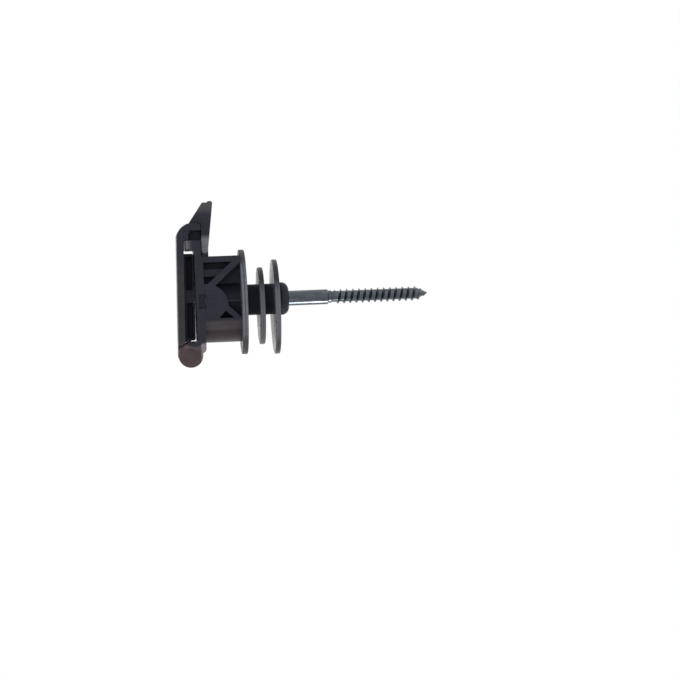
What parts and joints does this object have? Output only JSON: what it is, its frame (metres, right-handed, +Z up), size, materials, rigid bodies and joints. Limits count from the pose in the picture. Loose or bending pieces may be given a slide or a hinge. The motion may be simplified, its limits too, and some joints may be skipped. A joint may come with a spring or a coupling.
{
  "type": "fence insulator",
  "caption": "Screw-in clip insulator for electric fence tape, with a hinged gate, a sprung latch, rain sheds on a sleeve and a steel wood screw.",
  "frame": {"origin": "on the screw axis where the thread leaves the face of the post", "axes": "+X along the screw into the post, +Z up, Y along the fence tape"},
  "size_m": [0.1171, 0.0484, 0.0754],
  "materials": {
    "black_nylon": "satin moulded nylon",
    "pad_black": "dull moulded",
    "sleeve_black": "ribbed satin",
    "shed_grey": "satin",
    "zinc_steel": "zinc plated",
    "pin_black": "moulded nylon"
  },
  "bodies": {
    "root": {"bracket": "black_nylon", "sleeve": "sleeve_black", "small_shed": "shed_grey", "large_shed": "shed_grey", "post_screw": "zinc_steel", "hinge_pin": "pin_black", "pin_cap": "pin_black"},
    "gate": {"gate": "black_nylon", "pressure_pad": "pad_black"},
    "latch": {"latch_lever": "black_nylon"}
  },
  "joints": [
    {"name": "gate_hinge", "type": "hinge", "parent": "root", "child": "gate", "pos_m": [-0.06653, 0, -0.0242], "axis": [0, -1, 0], "range_deg": [0, 95]},
    {"name": "latch_flex", "type": "hinge", "parent": "root", "child": "latch", "pos_m": [-0.0582, 0, 0.0235], "axis": [0, 1, 0], "range_deg": [0, 10], "stiffness_Nm_per_rad": 0.3}
  ]
}
